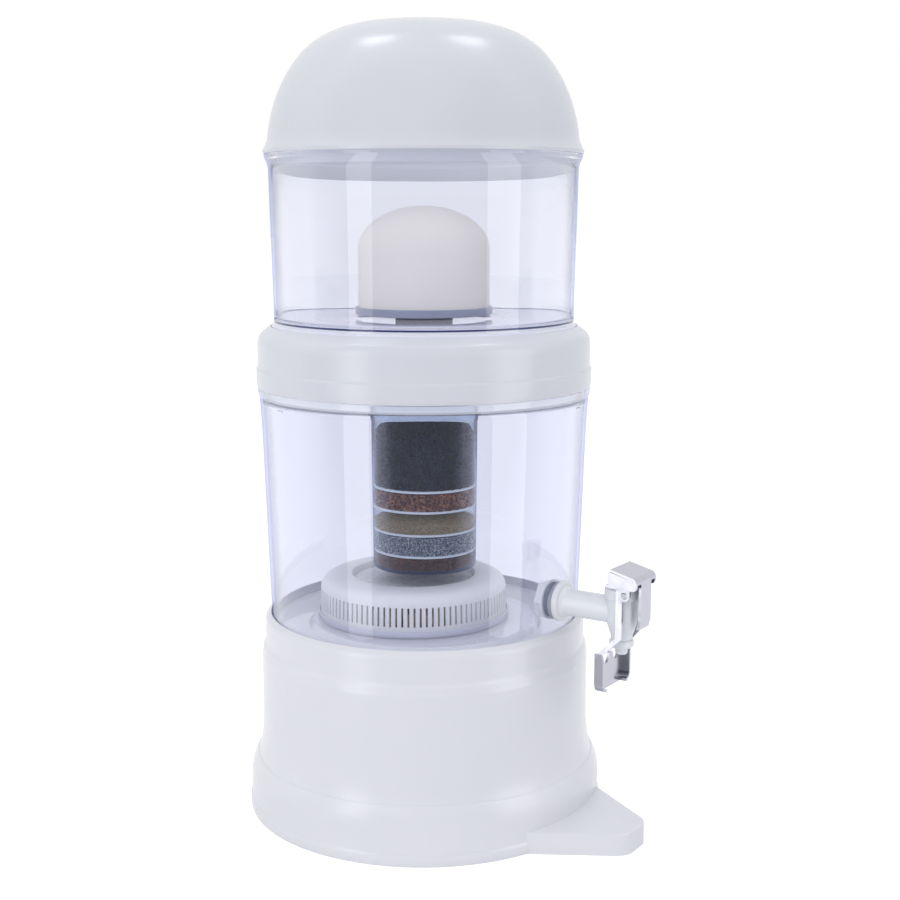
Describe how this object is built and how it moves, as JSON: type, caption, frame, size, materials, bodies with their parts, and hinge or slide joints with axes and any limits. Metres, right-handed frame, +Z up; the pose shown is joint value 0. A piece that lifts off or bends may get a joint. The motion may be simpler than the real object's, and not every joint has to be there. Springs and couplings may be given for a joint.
{
  "type": "gravity water filter",
  "caption": "Gravity water filter: white stand with cup rest, stacked clear tanks, ceramic dome over a hanging media cartridge, mineral case, lever tap and domed lid.",
  "frame": {"origin": "centre of the stand's foot, on the surface it stands on", "axes": "+Z up along the axis of the tanks; -Y towards the tap and the cup rest; X to the sides"},
  "size_m": [0.2806, 0.335, 0.606],
  "materials": {
    "white_plastic": "white high-impact polystyrene, moulded, glossy",
    "tap_plastic": "white acetal or ABS, moulded, semi-gloss",
    "clear_plastic": "clear styrene, moulded, faint blue tint",
    "frosted_plastic": "milky polypropylene, moulded",
    "tube_plastic": "clear blue styrene tube",
    "blue_plastic": "dark blue polypropylene, moulded",
    "rubber": "dark silicone rubber",
    "clear_rubber": "milky silicone rubber",
    "chrome": "bright nickel-chrome plate on pressed steel",
    "spring_steel": "stainless spring wire",
    "ceramic": "fired porous ceramic, matt",
    "grey_mesh": "grey woven mesh",
    "stones": "tumbled mineral stones",
    "pad_fibre": "pressed white fibre pad",
    "carbon": "granular activated carbon",
    "red_balls": "red-brown fired ceramic balls",
    "sand": "tan silica sand",
    "zeolite": "grey and white zeolite granules",
    "mineral_sand": "dark red-brown mineral sand"
  },
  "bodies": {
    "base": {"base_stand": "white_plastic"},
    "lower_tank": {"lower_tank": "clear_plastic", "tap_body": "tap_plastic", "tap_bonnet": "tap_plastic", "tap_outer_washer": "clear_rubber", "tap_inner_washer": "rubber", "tap_nut": "tap_plastic", "tap_nozzle": "tap_plastic", "tap_spring": "spring_steel", "case_tray": "frosted_plastic", "case_cover": "frosted_plastic", "case_pad": "grey_mesh", "case_stones": "stones"},
    "tap_lever": {"tap_lever": "chrome", "lever_pin": "chrome"},
    "tap_valve": {"valve_stem": "tap_plastic", "valve_seal": "rubber"},
    "collar": {"collar": "white_plastic"},
    "upper_tank": {"upper_tank": "clear_plastic", "dome_shell": "ceramic", "dome_base": "blue_plastic", "dome_washer": "rubber", "floor_washer": "rubber", "dome_nut": "tap_plastic", "cartridge_cap": "blue_plastic", "cartridge_gasket": "rubber", "cartridge_tube": "tube_plastic", "cartridge_bottom": "blue_plastic", "separator_pads": "pad_fibre", "media_carbon": "carbon", "media_red": "red_balls", "media_sand": "sand", "media_zeolite": "zeolite", "media_mineral": "mineral_sand"},
    "lid": {"lid": "white_plastic"}
  },
  "joints": [
    {"name": "lower_tank_lift", "type": "slide", "parent": "base", "child": "lower_tank", "axis": [0, 0, 1], "range_m": [0, 0.06]},
    {"name": "tap_lever", "type": "hinge", "parent": "lower_tank", "child": "tap_lever", "pos_m": [0, -0.1847, 0.196], "axis": [1, 0, 0], "range_deg": [0, 10], "stiffness_Nm_per_rad": 0.3, "springref_deg": -11.46},
    {"name": "tap_valve", "type": "slide", "parent": "lower_tank", "child": "tap_valve", "axis": [0, 0, 1], "range_m": [0, 0.0017], "deforming": ["tap_spring"]},
    {"name": "collar_lift", "type": "slide", "parent": "lower_tank", "child": "collar", "axis": [0, 0, 1], "range_m": [0, 0.05]},
    {"name": "upper_tank_lift", "type": "slide", "parent": "collar", "child": "upper_tank", "axis": [0, 0, 1], "range_m": [0, 0.22]},
    {"name": "lid_lift", "type": "slide", "parent": "upper_tank", "child": "lid", "axis": [0, 0, 1], "range_m": [0, 0.1]}
  ],
  "couplings": [
    {"joint": "tap_valve", "follows": "tap_lever", "m_per_rad": 0.0091}
  ]
}
